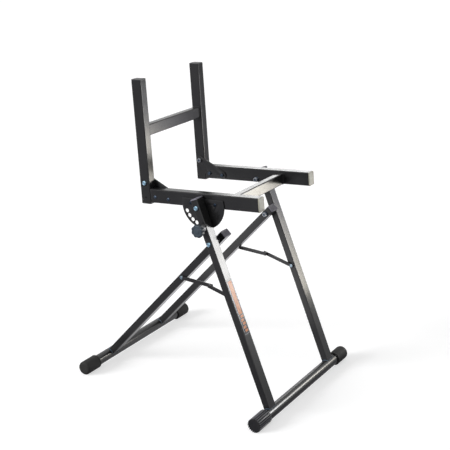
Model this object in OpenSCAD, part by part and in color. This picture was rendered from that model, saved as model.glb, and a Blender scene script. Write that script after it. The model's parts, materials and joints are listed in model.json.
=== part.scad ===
// Folding stand that holds a box-shaped load near the floor and tilts it back.
// Steel tube throughout: a front leg frame, a hinged rear leg frame held open by folding braces,
// a cradle of two arms that locks at steps on a drilled disc, and a backrest that folds forward.
// Origin: on the floor, midway between the four foot caps. +Z is up, +Y is the rear,
// -X is the side that carries the tilt lock.

/* [Foot bars] */
// Overall length of each foot bar, over its caps
foot_len = 500; // [460:5:600]
// Outer diameter of the foot bars
bar_d = 30; // [28:1:32]
// Wall of all the steel tube
tube_wall = 1.5; // [1.2:0.1:2]
// Outer diameter of the rubber caps
cap_d = 39; // [38:0.5:42]
// Length of the plain rubber caps
cap_len = 56; // [46:1:60]
// Length of the ribbed levelling cap
level_len = 60; // [50:1:64]
// Offset of the levelling cap from the bar it turns on
level_throw = 1.5; // [0.5:0.1:2]
// Ribs around the levelling cap
level_ribs = 20; // [16:2:24]

/* [Legs] */
// Width of the leg tube, across the stand
leg_w = 30; // [28:1:32]
// Depth of the leg tube
leg_d = 20; // [18:1:22]
// Outside corner radius of the rectangular tube
tube_round = 2.6; // [2:0.1:3]
// Half width over the front legs
front_out = 178; // [174:1:184]
// Front leg from the fold pivot to the foot bar's axis
front_len = 469.5; // [440:0.5:500]
// Lean of the front legs from vertical
front_lean = 23.6; // [21:0.1:26]
// Lean of the rear legs from vertical
rear_lean = 40.7; // [38:0.1:44]
// Gap between each front leg and the rear leg inside it
leg_gap = 12; // [12:0.5:14]
// Leg beyond its upper pivot, over the end plug
leg_head = 24; // [20:1:26]

/* [Folding braces] */
// Distance of the front legs' brace rivets from the fold pivot
brace_front = 165; // [155:1:180]
// Distance of the rear legs' brace rivets from the fold pivot
brace_rear = 172; // [165:1:185]
// Width of a brace link
link_w = 10; // [9:0.5:12]
// Thickness of a brace link
link_t = 2.5; // [2:0.1:2.5]
// Length of a brace link beyond its rivets
link_end = 6; // [5.5:0.5:7]
// Rise of an open brace's middle rivet above the line between its leg rivets
link_rise = 9.3; // [6:0.1:14]
// Share of that line on the front link's side
link_split = 0.48; // [0.47:0.01:0.5]

/* [Cradle] */
// Height of the tilt pivot along the front leg above the fold pivot
tilt_at = 98; // [95:1:120]
// Height of the arm tube
arm_h = 37; // [32:1:40]
// Width of the arm tube
arm_w = 25; // [24:1:26]
// Rise of the arms towards the front
arm_rise = 6.1; // [0:0.05:8]
// Arm forward of the tilt pivot, over its end plug
arm_front = 167; // [150:1:180]
// Arm behind the tilt pivot, over its end plug
arm_back = 166.5; // [160:0.5:170]
// Height of the tilt pivot above the arm's underside
pivot_up = 7.5; // [7.5:0.5:12]
// Height of the front crossbar
cross_h = 30; // [25:1:32]
// Depth of the crossbars
cross_d = 20; // [18:1:24]
// Crossbar's front face, forward of the tilt pivot
cross_at = 86; // [70:1:110]

/* [Tilt lock] */
// Radius of the drilled disc
disc_r = 64; // [62:0.5:66]
// Thickness of the drilled disc
disc_t = 3; // [3:0.1:3.2]
// Radius of the circle of lock holes
hole_circle = 54; // [52:0.5:54.5]
// Diameter of a lock hole
hole_d = 11; // [10.9:0.1:11.4]
// Number of lock holes
hole_count = 7; // [5:1:7]
// Angle between lock holes
hole_step = 14.6; // [14:0.1:15]
// Diameter of the lock pin
pin_d = 10.4; // [9:0.1:10.4]
// Travel of the lock pin from free to engaged
pin_travel = 7.4; // [6:0.1:8]
// Diameter of the knob over its lobes
knob_d = 35; // [32:1:38]
// Thickness of the knob
knob_t = 13; // [11:1:18]
// Number of lobes around the knob
knob_lobes = 8; // [6:1:10]
// Diameter of the guide bushing on the leg
bushing_d = 20; // [18:1:22]
// Length of the guide bushing outside the leg
bushing_len = 10; // [8:0.5:14]

/* [Backrest] */
// Depth of the upright tube
upright_d = 30; // [28:1:32]
// Width of the upright tube
upright_w = 25; // [24:0.5:25]
// Top of the uprights above the arms' underside, over the plug
upright_top = 327; // [280:1:380]
// Reach of the uprights below the arms' underside, over the plug
upright_low = 4.3; // [3:0.1:8]
// Forward lean of the opened backrest from square to the arms
upright_lean = 1; // [0:0.1:2]
// Height of the backrest crossbar above the arms' underside
back_at = 190; // [120:5:240]
// Height of the backrest crossbar
back_h = 30; // [25:1:32]

/* [Fasteners] */
// Diameter of the pivot bolts
bolt_d = 6.4; // [6:0.1:8]
// Width across the flats of the pivot bolts and nuts
bolt_af = 11.1; // [10:0.1:13]
// Height of a pivot bolt's head
head_t = 4.2; // [4:0.1:5.5]
// Height of a pivot nut
nut_t = 5.6; // [5:0.1:6.8]
// Thickness of a pivot washer
washer_t = 1.6; // [1.2:0.1:1.6]
// Diameter of the plate bolts
screw_d = 5; // [4:0.5:6]
// Diameter of the plate bolts' domed heads
screw_head = 9.5; // [9:0.5:12]
// Width across the flats of the plate bolts' nuts
screw_af = 8; // [8:0.5:10]
// Diameter of the brace rivets
rivet_d = 6; // [5:0.5:6.5]

/* [Hidden] */
$fn = 64;
gap = 0.3;                // clearance between pieces that move past each other
run = 0.05;               // radial clearance of a bolt, pin or cap in the piece that turns on it
seat = 0.1;               // radial clearance of a bolt in a piece that it only clamps
plug_t = 2.5;             // head of a tube end plug
plug_in = 8;              // plug's length inside the tube
plug_fit = 0.1;           // plug's clearance inside the tube
plug_round = 1;           // relief around a plug's outer face
end_t = 5;                // closed end of a foot cap
end_round = 7;            // rounding of a plain cap's closed end
rim_round = 1.5;          // rounding of a plain cap's rim
rib_cut = 3.2;            // diameter of a groove between two ribs
rib_deep = 1.2;           // depth of a groove between two ribs
rivet_head_d = 9;         // brace rivet's head
rivet_head_t = 1.2;       // its height
link_clear = 1.8;         // clearance of a brace link from its leg
link_round = 2;           // rounding of a link's corners
washer_d = 14;            // pivot washers and spacers
screw_head_t = 2.6;       // plate bolt's head
screw_nut_t = 4;          // plate bolt's nut
disc_screw_d = 5;         // screws that hold the disc
disc_screw_head_d = 9;    // their heads
disc_screw_head_t = 2.2;
disc_screw_at = 37;       // their distance from the tilt pivot along the arm
disc_screw_up = 3;        // and above it
disc_top = 16.5;          // disc's straight edge above the tilt pivot
plate_t = 3;              // hinge plate
plate_r = 12;             // its rounded corners
plate_bolts = [[152, 16], [110, 13]];   // its bolts, back from the tilt pivot and up the arm
guide_hole_d = 4;         // small hole in the upright's outer wall
guide_hole_up = 13.4;
knob_neck = 0.9;          // knob's core as a share of its size
knob_lobe = 0.36;         // a lobe's diameter as a share of it

cap_r = cap_d / 2;
pivot_z = cap_r + front_len * cos(front_lean);
rear_len = front_len * cos(front_lean) / cos(rear_lean);
pivot_y = (front_len * sin(front_lean) - rear_len * sin(rear_lean)) / 2;
front_in = front_out - leg_w;
rear_out = front_in - leg_gap;
rear_in = rear_out - leg_w;
arm_out = front_in - gap - disc_t;
arm_in = arm_out - arm_w;
upright_in = arm_in + gap;
upright_out = upright_in + upright_w;
upright_at = arm_back + 0.5 + upright_d / 2;
hinge_up = arm_h + 0.5 + upright_d / 2;
plate_in = arm_in - plate_t;

rear_link_x = rear_out + link_clear;
front_link_x = front_in - link_clear - link_t;
brace_start = [-brace_front * sin(front_lean), -brace_front * cos(front_lean)];
brace_stop = [brace_rear * sin(rear_lean), -brace_rear * cos(rear_lean)];
brace_span = norm(brace_stop - brace_start);
brace_slope = atan2(brace_stop[1] - brace_start[1], brace_stop[0] - brace_start[0]);
front_link_len = norm([link_split * brace_span, link_rise]);
rear_link_len = norm([(1 - link_split) * brace_span, link_rise]);
front_link_slope = brace_slope + atan2(link_rise, link_split * brace_span);
rear_link_slope = brace_slope - atan2(link_rise, (1 - link_split) * brace_span);

paint = [0.07, 0.07, 0.08];
rubber = [0.30, 0.30, 0.31];
plastic = [0.10, 0.10, 0.11];
beige = [0.62, 0.60, 0.56];
zinc = [0.66, 0.70, 0.76];

// Part of the stand to build

// Shapes across the stand

module left() {
  mirror([1, 0, 0]) children();
}

module pair() {
  children();
  left() children();
}

module rod_x(d, x0, x1) {
  translate([x0, 0, 0]) rotate([0, 90, 0]) cylinder(d = d, h = x1 - x0);
}

module hex_x(af, x0, x1) {
  translate([x0, 0, 0]) rotate([0, 90, 0]) cylinder(d = af / cos(30), h = x1 - x0, $fn = 6);
}

// Flat outline in the plane of the stand's side, thickened across it
module plate_x(x0, t) {
  translate([x0, 0, 0]) rotate([90, 0, 90]) linear_extrude(t) children();
}

module washer_x(d, bore, x0, x1) {
  difference() {
    rod_x(d, x0, x1);
    rod_x(bore, x0 - 1, x1 + 1);
  }
}

// Hexagon head with its upper corners turned off, standing out from x0
module head_x(af, t, x0) {
  intersection() {
    hex_x(af, x0, x0 + t);
    translate([x0, 0, 0]) rotate([0, 90, 0]) union() {
      cylinder(d = af * 1.3, h = t - 0.9);
      translate([0, 0, t - 0.9]) cylinder(d1 = af * 1.3, d2 = af * 0.94, h = 0.9);
    }
  }
}

// Low domed head, standing out from x0
module dome_x(d, t, x0) {
  r = (d * d / 4 + t * t) / (2 * t);
  translate([x0, 0, 0]) rotate([0, 90, 0]) rotate_extrude() intersection() {
    translate([0, t - r]) circle(r = r);
    square([d, t]);
  }
}

module nut_x(af, bore, t, x0) {
  difference() {
    mirror([1, 0, 0]) head_x(af, t, -x0);
    rod_x(bore, x0 - t - 1, x0 + 1);
  }
}

// Rectangular tube

module round_rect(w, d, r) {
  square([w - 2 * r, d], center = true);
  square([w, d - 2 * r], center = true);
  for (sx = [-1, 1], sy = [-1, 1]) {
    translate([sx * (w / 2 - r), sy * (d / 2 - r)]) circle(r = r);
  }
}

module rect_tube(w, d, z0, z1) {
  translate([0, 0, z0]) linear_extrude(z1 - z0) difference() {
    round_rect(w, d, tube_round);
    round_rect(w - 2 * tube_wall, d - 2 * tube_wall, tube_round - tube_wall);
  }
}

// Plug that closes a tube end at z = 0 and stands plug_t beyond it
module end_plug(w, d) {
  iw = w - 2 * tube_wall - 2 * plug_fit;
  id = d - 2 * tube_wall - 2 * plug_fit;
  linear_extrude(plug_t - plug_round) round_rect(w, d, tube_round);
  translate([0, 0, plug_t - plug_round]) linear_extrude(plug_round)
    round_rect(w - 2 * plug_round, d - 2 * plug_round, tube_round - plug_round);
  translate([0, 0, -plug_in]) linear_extrude(plug_in) difference() {
    round_rect(iw, id, 1);
    square([iw - 5, id - 5], center = true);
  }
}

// Places

module at_pivot() {
  translate([0, pivot_y, pivot_z]) children();
}

// Along the front leg: z runs up the leg from the fold pivot, y runs across its depth
module front_frame() {
  at_pivot() rotate([-front_lean, 0, 0]) children();
}

module rear_frame() {
  at_pivot() rotate([rear_lean, 0, 0]) children();
}

module at_tilt() {
  front_frame() translate([0, 0, tilt_at]) rotate([front_lean, 0, 0]) children();
}

// Along the arm: y runs back from the tilt pivot, z up from the arm's underside
module arm_frame() {
  at_tilt() rotate([-arm_rise, 0, 0]) translate([0, 0, -pivot_up]) children();
}

module at_hinge() {
  arm_frame() translate([0, upright_at, hinge_up]) children();
}

// Along the upright: z runs up it from its hinge, y across its depth
module back_frame() {
  at_hinge() rotate([upright_lean, 0, 0]) children();
}

module at_lock() {
  front_frame() translate([0, 0, tilt_at - hole_circle]) children();
}

// Foot bars and caps

module foot_bar() {
  half = foot_len / 2 - end_t;
  difference() {
    rod_x(bar_d, -half, half);
    rod_x(bar_d - 2 * tube_wall, -half - 1, half + 1);
  }
}

// Cap on the right-hand end of a bar
module foot_cap() {
  x1 = foot_len / 2;
  translate([x1 - cap_len, 0, 0]) rotate([0, 90, 0]) rotate_extrude() difference() {
    union() {
      square([cap_r - end_round, cap_len]);
      translate([0, rim_round]) square([cap_r, cap_len - end_round - rim_round]);
      square([cap_r - rim_round, cap_len - end_round]);
      translate([cap_r - rim_round, rim_round]) circle(r = rim_round);
      intersection() {
        translate([cap_r - end_round, cap_len - end_round]) circle(r = end_round);
        square([cap_r, cap_len]);
      }
    }
    square([bar_d / 2, cap_len - end_t]);
    translate([-cap_d, -1]) square([cap_d, cap_len + 2]);
  }
}

// Ribbed cap with an off-centre bore, on the right-hand end of a bar
module level_cap() {
  x0 = foot_len / 2 - level_len;
  difference() {
    translate([x0, level_throw, 0]) rotate([0, 90, 0]) linear_extrude(level_len) difference() {
      circle(r = cap_r);
      for (i = [0:level_ribs - 1]) {
        rotate((i + 0.5) * 360 / level_ribs) translate([cap_r - rib_deep + rib_cut / 2, 0])
          circle(d = rib_cut, $fn = 16);
      }
    }
    rod_x(bar_d + 2 * run, x0 - 1, x0 + level_len - end_t);
  }
}

module front_foot_bar() {
  color(paint) front_frame() translate([0, 0, -front_len]) foot_bar();
}

module rear_foot_bar() {
  color(paint) rear_frame() translate([0, 0, -rear_len]) foot_bar();
}

module front_cap_right() {
  color(rubber) front_frame() translate([0, 0, -front_len]) foot_cap();
}

module levelling_cap() {
  color(rubber) translate([0, pivot_y - front_len * sin(front_lean), cap_r]) left() level_cap();
}

module rear_cap_right() {
  color(rubber) rear_frame() translate([0, 0, -rear_len]) foot_cap();
}

module rear_cap_left() {
  color(rubber) rear_frame() translate([0, 0, -rear_len]) left() foot_cap();
}

// Legs

module front_leg() {
  difference() {
    translate([front_in + leg_w / 2, 0, 0])
      rect_tube(leg_w, leg_d, -front_len, tilt_at + leg_head - plug_t);
    translate([0, 0, -front_len]) rod_x(bar_d, front_in - 1, front_out + 1);
    for (z = [0, tilt_at]) {
      translate([0, 0, z]) rod_x(bolt_d + 2 * seat, front_in - 1, front_out + 1);
    }
    translate([0, 0, -brace_front]) rod_x(rivet_d, front_in - 1, front_in + leg_w / 2);
  }
}

module front_leg_right() {
  color(paint) front_frame() front_leg();
}

module front_leg_left() {
  color(paint) front_frame() left() difference() {
    front_leg();
    translate([0, 0, tilt_at - hole_circle])
      rod_x(pin_d + 2 * run, front_in - 1, front_out + 1);
  }
}

module front_leg_plugs() {
  color(plastic) front_frame() pair()
    translate([front_in + leg_w / 2, 0, tilt_at + leg_head - plug_t]) end_plug(leg_w, leg_d);
}

module rear_leg() {
  difference() {
    translate([rear_in + leg_w / 2, 0, 0])
      rect_tube(leg_w, leg_d, -rear_len, leg_head - plug_t);
    translate([0, 0, -rear_len]) rod_x(bar_d, rear_in - 1, rear_out + 1);
    rod_x(bolt_d + 2 * run, rear_in - 1, rear_out + 1);
    translate([0, 0, -brace_rear]) rod_x(rivet_d, rear_in + leg_w / 2, rear_out + 1);
  }
}

module rear_leg_right() {
  color(paint) rear_frame() rear_leg();
}

module rear_leg_left() {
  color(paint) rear_frame() left() rear_leg();
}

module rear_leg_plugs() {
  color(plastic) rear_frame() pair()
    translate([rear_in + leg_w / 2, 0, leg_head - plug_t]) end_plug(leg_w, leg_d);
}

// Fold pivot

module fold_bolts() {
  color(zinc) at_pivot() pair() {
    head_x(bolt_af, head_t, front_out);
    rod_x(bolt_d, rear_in - gap - washer_t - nut_t - 1, front_out + 1);
  }
}

module fold_spacers() {
  color(zinc) at_pivot() pair()
    washer_x(washer_d, bolt_d + 2 * seat, rear_out + gap, front_in);
}

module fold_washers() {
  color(zinc) at_pivot() pair()
    washer_x(washer_d, bolt_d + 2 * seat, rear_in - gap - washer_t, rear_in - gap);
}

module fold_nuts() {
  color(zinc) at_pivot() pair()
    nut_x(bolt_af, bolt_d, nut_t, rear_in - gap - washer_t);
}

// Folding braces

module link_outline(len) {
  difference() {
    translate([len / 2, 0]) round_rect(len + 2 * link_end, link_w, link_round);
    circle(d = rivet_d + 2 * run);
    translate([len, 0]) circle(d = rivet_d);
  }
}

// Along the front link: y runs from its leg rivet to the middle of the brace
module front_link_frame() {
  at_pivot() translate([0, brace_start[0], brace_start[1]])
    rotate([front_link_slope, 0, 0]) children();
}

module rear_link_frame() {
  at_pivot() translate([0, brace_stop[0], brace_stop[1]])
    rotate([180 + rear_link_slope, 0, 0]) children();
}

module front_link() {
  front_link_frame() plate_x(front_link_x, link_t) link_outline(front_link_len);
}

module rear_link() {
  rear_link_frame() plate_x(rear_link_x, link_t) link_outline(rear_link_len);
}

module front_link_right() {
  color(paint) front_link();
}

module front_link_left() {
  color(paint) left() front_link();
}

module rear_link_right() {
  color(paint) rear_link();
}

module rear_link_left() {
  color(paint) left() rear_link();
}

// Middle rivet: its shoulder and outer head ride on the front link, its inner head on the rear one
module link_pivot() {
  front_link_frame() translate([0, front_link_len, 0]) {
    rod_x(link_w, rear_link_x + link_t + gap, front_link_x);
    rod_x(rivet_d, front_link_x, front_link_x + link_t);
    rod_x(rivet_head_d, front_link_x + link_t, front_link_x + link_t + rivet_head_t);
  }
}

module link_pivot_right() {
  color(paint) link_pivot();
}

module link_pivot_left() {
  color(paint) left() link_pivot();
}

module link_head() {
  rear_link_frame() translate([0, rear_link_len, 0]) {
    rod_x(rivet_d, rear_link_x, rear_link_x + link_t);
    rod_x(rivet_head_d, rear_link_x - rivet_head_t, rear_link_x);
  }
}

module link_head_right() {
  color(paint) link_head();
}

module link_head_left() {
  color(paint) left() link_head();
}

module front_brace_rivets() {
  x0 = front_link_x - gap;
  color(zinc) front_frame() translate([0, 0, -brace_front]) pair() {
    rod_x(rivet_head_d, x0 - 1, x0);
    rod_x(rivet_d, x0, front_in + 4);
    rod_x(link_w, front_link_x + link_t + gap, front_in);
  }
}

module rear_brace_rivets() {
  x0 = rear_link_x + link_t + gap;
  color(zinc) rear_frame() translate([0, 0, -brace_rear]) pair() {
    rod_x(rivet_head_d, x0, x0 + 1);
    rod_x(rivet_d, rear_out - 4, x0);
    rod_x(link_w, rear_out, rear_link_x - gap);
  }
}

// Tilt pivot and lock

module tilt_bolts() {
  color(zinc) at_tilt() pair() {
    head_x(bolt_af, head_t, front_out);
    rod_x(bolt_d, arm_in - gap - washer_t - nut_t - 1, front_out + 1);
  }
}

module tilt_washers() {
  color(zinc) at_tilt() pair()
    washer_x(washer_d, bolt_d + 2 * seat, arm_in - gap - washer_t, arm_in - gap);
}

module tilt_nuts() {
  color(zinc) at_tilt() pair() nut_x(bolt_af, bolt_d, nut_t, arm_in - gap - washer_t);
}

// Makes up the disc's thickness on the side that has no disc
module tilt_spacer() {
  color(zinc) at_tilt() washer_x(washer_d, bolt_d + 2 * seat, arm_out + gap, front_in);
}

module lock_bushing() {
  color(zinc) at_lock() left()
    washer_x(bushing_d, pin_d + 2 * run, front_out, front_out + bushing_len);
}

module lock_pin() {
  x1 = front_out + bushing_len + pin_travel + gap;
  color(zinc) at_lock() left() {
    translate([front_in, 0, 0]) rotate([0, 90, 0]) {
      cylinder(d1 = pin_d - 2, d2 = pin_d, h = 1);
      translate([0, 0, 1]) cylinder(d = pin_d, h = x1 - front_in - 1);
      cylinder(d = pin_d - 3, h = x1 - front_in + knob_t - 4);
    }
  }
}

module knob_outline() {
  circle(d = knob_d * knob_neck);
  for (i = [0:knob_lobes - 1]) {
    rotate(i * 360 / knob_lobes) translate([knob_d * (1 - knob_lobe) / 2, 0])
      circle(d = knob_d * knob_lobe, $fn = 32);
  }
}

module lock_knob() {
  x0 = front_out + bushing_len + pin_travel + gap;
  color(plastic) at_lock() left() difference() {
    plate_x(x0, knob_t) knob_outline();
    rod_x(pin_d - 3, x0 - 1, x0 + knob_t - 4);
  }
}

// Disc about the tilt pivot, its lowest-numbered hole on the front leg's centre line
module tilt_disc() {
  first = 180 + 90 - front_lean + arm_rise;
  color(paint) at_tilt() rotate([-arm_rise, 0, 0]) left() plate_x(arm_out, disc_t) difference() {
    intersection() {
      circle(r = disc_r, $fn = 128);
      translate([-disc_r, -disc_r]) square([2 * disc_r, disc_r + disc_top]);
    }
    circle(d = bolt_d + 2 * run);
    for (i = [0:hole_count - 1]) {
      rotate(first + i * hole_step) translate([hole_circle, 0]) circle(d = hole_d, $fn = 32);
    }
    for (s = [-1, 1]) {
      translate([s * disc_screw_at, disc_screw_up]) circle(d = disc_screw_d, $fn = 32);
    }
  }
}

module disc_screws() {
  x1 = arm_out + disc_t;
  color(zinc) arm_frame() left() for (s = [-1, 1]) {
    translate([0, s * disc_screw_at, pivot_up + disc_screw_up]) {
      rod_x(disc_screw_d, arm_out - 5, x1);
      dome_x(disc_screw_head_d, disc_screw_head_t, x1);
    }
  }
}

// Cradle

module arm() {
  arm_frame() difference() {
    translate([arm_in + arm_w / 2, 0, arm_h / 2]) rotate([-90, 0, 0])
      rect_tube(arm_w, arm_h, plug_t - arm_front, arm_back - plug_t);
    translate([0, 0, pivot_up]) rod_x(bolt_d + 2 * run, arm_in - 1, arm_out + 1);
    for (p = plate_bolts) {
      translate([0, p[0], p[1]]) rod_x(screw_d + 2 * seat, arm_in - 1, arm_out + 1);
    }
  }
}

module arm_right() {
  color(paint) arm();
}

module arm_left() {
  color(paint) left() difference() {
    arm();
    for (s = [-1, 1]) {
      arm_frame() translate([0, s * disc_screw_at, pivot_up + disc_screw_up])
        rod_x(disc_screw_d, arm_out - arm_w / 2, arm_out + 1);
    }
  }
}

module arm_front_plugs() {
  color(beige) arm_frame() pair()
    translate([arm_in + arm_w / 2, plug_t - arm_front, arm_h / 2]) rotate([90, 0, 0])
      end_plug(arm_w, arm_h);
}

module arm_back_plugs() {
  color(plastic) arm_frame() pair()
    translate([arm_in + arm_w / 2, arm_back - plug_t, arm_h / 2]) rotate([-90, 0, 0])
      end_plug(arm_w, arm_h);
}

module front_crossbar() {
  color(paint) arm_frame() translate([0, cross_d / 2 - cross_at, cross_h / 2])
    rotate([0, 90, 0]) rect_tube(cross_h, cross_d, -arm_in, arm_in);
}

// Backrest hinge

module hinge_plate() {
  arm_frame() plate_x(plate_in, plate_t) difference() {
    hull() {
      translate([upright_at, hinge_up]) circle(r = plate_r, $fn = 32);
      for (p = plate_bolts) {
        translate(p) circle(r = plate_r, $fn = 32);
      }
    }
    translate([upright_at, hinge_up]) circle(d = bolt_d + 2 * seat);
    for (p = plate_bolts) {
      translate(p) circle(d = screw_d + 2 * seat);
    }
  }
}

module hinge_plate_right() {
  color(paint) hinge_plate();
}

module hinge_plate_left() {
  color(paint) left() hinge_plate();
}

module plate_bolts_and_nuts() {
  color(zinc) arm_frame() pair() for (p = plate_bolts) {
    translate([0, p[0], p[1]]) {
      dome_x(screw_head, screw_head_t, arm_out);
      rod_x(screw_d, plate_in - screw_nut_t - 1, arm_out + 1);
      nut_x(screw_af, screw_d - 1, screw_nut_t, plate_in);
    }
  }
}

module backrest_bolts() {
  color(zinc) at_hinge() pair() {
    head_x(bolt_af, head_t, upright_out + gap);
    rod_x(bolt_d, plate_in - nut_t - 1, upright_out + gap + 1);
  }
}

module backrest_nuts() {
  color(zinc) at_hinge() pair() nut_x(bolt_af, bolt_d, nut_t, plate_in);
}

// Backrest

module upright() {
  x = upright_in + upright_w / 2;
  back_frame() difference() {
    translate([x, 0, 0]) rect_tube(upright_w, upright_d,
      plug_t - upright_low - hinge_up, upright_top - plug_t - hinge_up);
    rod_x(bolt_d + 2 * run, upright_in - 1, upright_out + 1);
    translate([0, 0, guide_hole_up - hinge_up]) rod_x(guide_hole_d, x, upright_out + 1);
  }
}

module upright_right() {
  color(paint) upright();
}

module upright_left() {
  color(paint) left() upright();
}

module upright_plugs() {
  color(plastic) back_frame() pair() translate([upright_in + upright_w / 2, 0, -hinge_up]) {
    translate([0, 0, upright_top - plug_t]) end_plug(upright_w, upright_d);
    translate([0, 0, plug_t - upright_low]) mirror([0, 0, 1]) end_plug(upright_w, upright_d);
  }
}

module backrest_crossbar() {
  color(paint) back_frame() translate([0, 0, back_at - hinge_up])
    rotate([0, 90, 0]) rect_tube(back_h, cross_d, -upright_in, upright_in);
}

front_leg_left();
front_leg_right();
front_foot_bar();
front_cap_right();
levelling_cap();
front_leg_plugs();
rear_leg_left();
rear_leg_right();
rear_foot_bar();
rear_cap_left();
rear_cap_right();
rear_leg_plugs();
fold_bolts();
fold_spacers();
fold_washers();
fold_nuts();
front_brace_rivets();
rear_brace_rivets();
front_link_left();
front_link_right();
rear_link_left();
rear_link_right();
link_pivot_left();
link_pivot_right();
link_head_left();
link_head_right();
tilt_bolts();
tilt_washers();
tilt_nuts();
tilt_spacer();
lock_bushing();
lock_pin();
lock_knob();
tilt_disc();
disc_screws();
arm_left();
arm_right();
arm_front_plugs();
arm_back_plugs();
front_crossbar();
hinge_plate_left();
hinge_plate_right();
plate_bolts_and_nuts();
backrest_bolts();
backrest_nuts();
upright_left();
upright_right();
upright_plugs();
backrest_crossbar();
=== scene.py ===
import json
import math
import bmesh
import bpy
from mathutils import Matrix, Vector


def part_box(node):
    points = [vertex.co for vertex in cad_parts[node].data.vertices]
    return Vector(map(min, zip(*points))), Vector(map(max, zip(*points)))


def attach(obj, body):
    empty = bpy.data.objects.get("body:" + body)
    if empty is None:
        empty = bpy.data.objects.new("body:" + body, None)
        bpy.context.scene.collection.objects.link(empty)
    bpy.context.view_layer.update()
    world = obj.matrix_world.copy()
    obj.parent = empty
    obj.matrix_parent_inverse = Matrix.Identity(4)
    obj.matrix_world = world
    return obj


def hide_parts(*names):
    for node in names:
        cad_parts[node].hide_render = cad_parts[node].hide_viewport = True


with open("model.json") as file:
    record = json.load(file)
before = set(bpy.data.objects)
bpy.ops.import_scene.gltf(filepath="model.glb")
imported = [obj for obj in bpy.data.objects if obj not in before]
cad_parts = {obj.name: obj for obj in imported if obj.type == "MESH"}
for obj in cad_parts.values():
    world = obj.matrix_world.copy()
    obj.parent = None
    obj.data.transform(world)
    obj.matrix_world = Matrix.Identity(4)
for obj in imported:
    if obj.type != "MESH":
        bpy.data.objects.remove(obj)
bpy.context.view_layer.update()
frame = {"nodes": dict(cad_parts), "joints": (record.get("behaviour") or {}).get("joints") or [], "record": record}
nodes = frame["nodes"]
print("frame loaded:", len(nodes), "CAD nodes")

mm = 0.001
bothSides = (-1, 1)  # left, right
joints = {j["name"]: j for j in frame["joints"]}

# the stand's main sizes, as in the solids: angles in degrees, lengths in metres
# "In" and "Out" are a tube's inner and outer side, from the middle of the stand
stand = {
    "frontLean": 23.6,
    "rearLean": 40.7,
    "armRise": 6.1,
    "uprightLean": 1.0,
    "frontIn": 148 * mm,
    "frontOut": 178 * mm,
    "rearIn": 106 * mm,
    "rearOut": 136 * mm,
    "legWidth": 30 * mm,
    "legDepth": 20 * mm,
    "legHead": 24 * mm,
    "tiltAt": 98 * mm,
    "holeCircle": 54 * mm,
    "armIn": 119.7 * mm,
    "armOut": 144.7 * mm,
    "armHeight": 37 * mm,
    "armFront": 167 * mm,
    "armBack": 166.5 * mm,
    "pivotUp": 7.5 * mm,
    "uprightIn": 120 * mm,
    "uprightOut": 145 * mm,
    "uprightDepth": 30 * mm,
    "uprightTop": 327 * mm,
    "uprightLow": 4.3 * mm,
    "uprightClear": 0.5 * mm,
    "plateThick": 3 * mm,
    "discThick": 3 * mm,
    "barRadius": 15 * mm,
    "capRadius": 19.5 * mm,
    "footHalf": 250 * mm,
    "tubeRound": 2.6 * mm,
}


def moved(x, y, z):
    return Matrix.Translation((x, y, z))


def turned(angle, axis="X"):
    return Matrix.Rotation(math.radians(angle), 4, axis)


def jointPlace(name):
    return Matrix.Translation(joints[name]["pos_m"])


mirrorX = Matrix.Scale(-1, 4, (1, 0, 0))
alongX = turned(90, "Y")
flip = turned(180)
foldPlace = jointPlace("rear_legs_fold")
tiltPlace = jointPlace("cradle_tilt")
hingePlace = jointPlace("backrest_fold")
frontLeg = foldPlace @ turned(-stand["frontLean"])
rearLeg = foldPlace @ turned(stand["rearLean"])
armPlace = tiltPlace @ turned(-stand["armRise"])
uprightPlace = hingePlace @ turned(stand["uprightLean"] - stand["armRise"])
lockPlace = frontLeg @ moved(0, 0, stand["tiltAt"] - stand["holeCircle"])

# camera, fitted to the straight edges in the photograph
view = {
    "place": (-2.2333, -1.4282, 1.3920),
    "azimuth": -57.878,
    "elevation": 19.911,
    "roll": 0.6873,
    "lens": 82.667,
    "shiftX": 0.00055,
    "shiftY": -0.00045,
}


def makeCamera():
    data = bpy.data.cameras.new("camera")
    data.lens = view["lens"]
    data.sensor_width = 36
    data.clip_start = 0.05
    data.clip_end = 50
    data.shift_x = view["shiftX"]
    data.shift_y = view["shiftY"]
    cam = bpy.data.objects.new("camera", data)
    bpy.context.scene.collection.objects.link(cam)
    a, e, r = (math.radians(view[k]) for k in ("azimuth", "elevation", "roll"))
    back = Vector((math.sin(a) * math.cos(e), -math.cos(a) * math.cos(e), math.sin(e)))
    right = Vector((math.cos(a), math.sin(a), 0))
    up = back.cross(right)
    right, up = (math.cos(r) * right + math.sin(r) * up,
                 math.cos(r) * up - math.sin(r) * right)
    turn = Matrix((right, up, back)).transposed().to_4x4()
    cam.matrix_world = Matrix.Translation(view["place"]) @ turn
    bpy.context.scene.camera = cam


makeCamera()
bpy.context.scene.view_settings.view_transform = "Standard"
print("camera made")


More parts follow.
